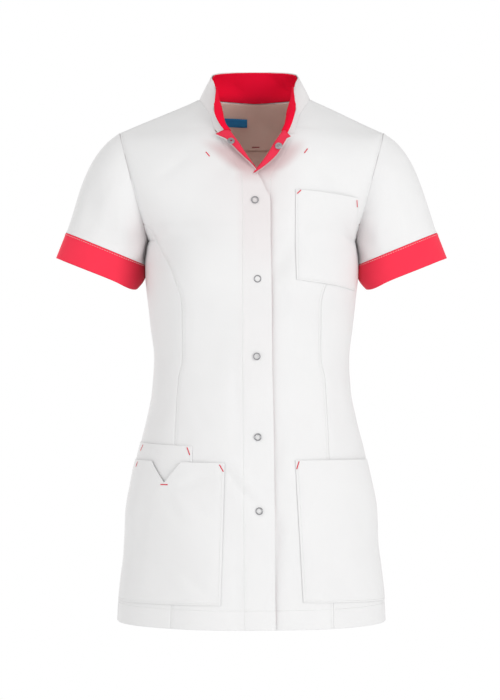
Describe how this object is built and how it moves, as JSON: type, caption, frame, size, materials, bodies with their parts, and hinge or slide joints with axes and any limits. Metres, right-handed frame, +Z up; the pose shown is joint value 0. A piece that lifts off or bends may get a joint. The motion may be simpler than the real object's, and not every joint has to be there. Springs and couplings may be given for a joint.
{
  "type": "medical tunic",
  "caption": "White short-sleeved women's medical tunic with red cuffs, a stand collar with small red turned-out lapels, ring snaps and patch pockets.",
  "frame": {"origin": "midway between the points where the shoulder seams meet the collar, where the wearer's shoulders hold the tunic", "axes": "+Z up, +X to the wearer's left, the front faces -Y"},
  "size_m": [0.5386, 0.2475, 0.7624],
  "materials": {
    "white_cloth": "matt white polyester-cotton twill",
    "red_cloth": "matt red polyester-cotton twill",
    "snap_metal": "bright nickel ring snaps",
    "label_cloth": "plain woven blue, with nothing on it"
  },
  "bodies": {
    "root": {"back": "white_cloth", "back_neck_facing": "white_cloth", "front_right": "white_cloth", "front_left": "white_cloth", "side_front_right": "white_cloth", "side_front_left": "white_cloth", "front_facing_right": "red_cloth", "front_facing_left": "red_cloth", "sleeve_right": "white_cloth", "sleeve_left": "white_cloth", "cuff_right": "red_cloth", "cuff_left": "red_cloth", "collar_outer": "white_cloth", "collar_inner": "red_cloth", "chest_pocket": "white_cloth", "hip_pocket_left": "white_cloth", "hip_pocket_right": "white_cloth", "hip_pocket_right_small": "white_cloth", "label": "label_cloth", "snap_1": "snap_metal", "snap_2": "snap_metal", "snap_3": "snap_metal", "snap_4": "snap_metal", "snap_5": "snap_metal", "lapel_snap_socket": "snap_metal", "lapel_snap_stud": "snap_metal"}
  },
  "joints": []
}
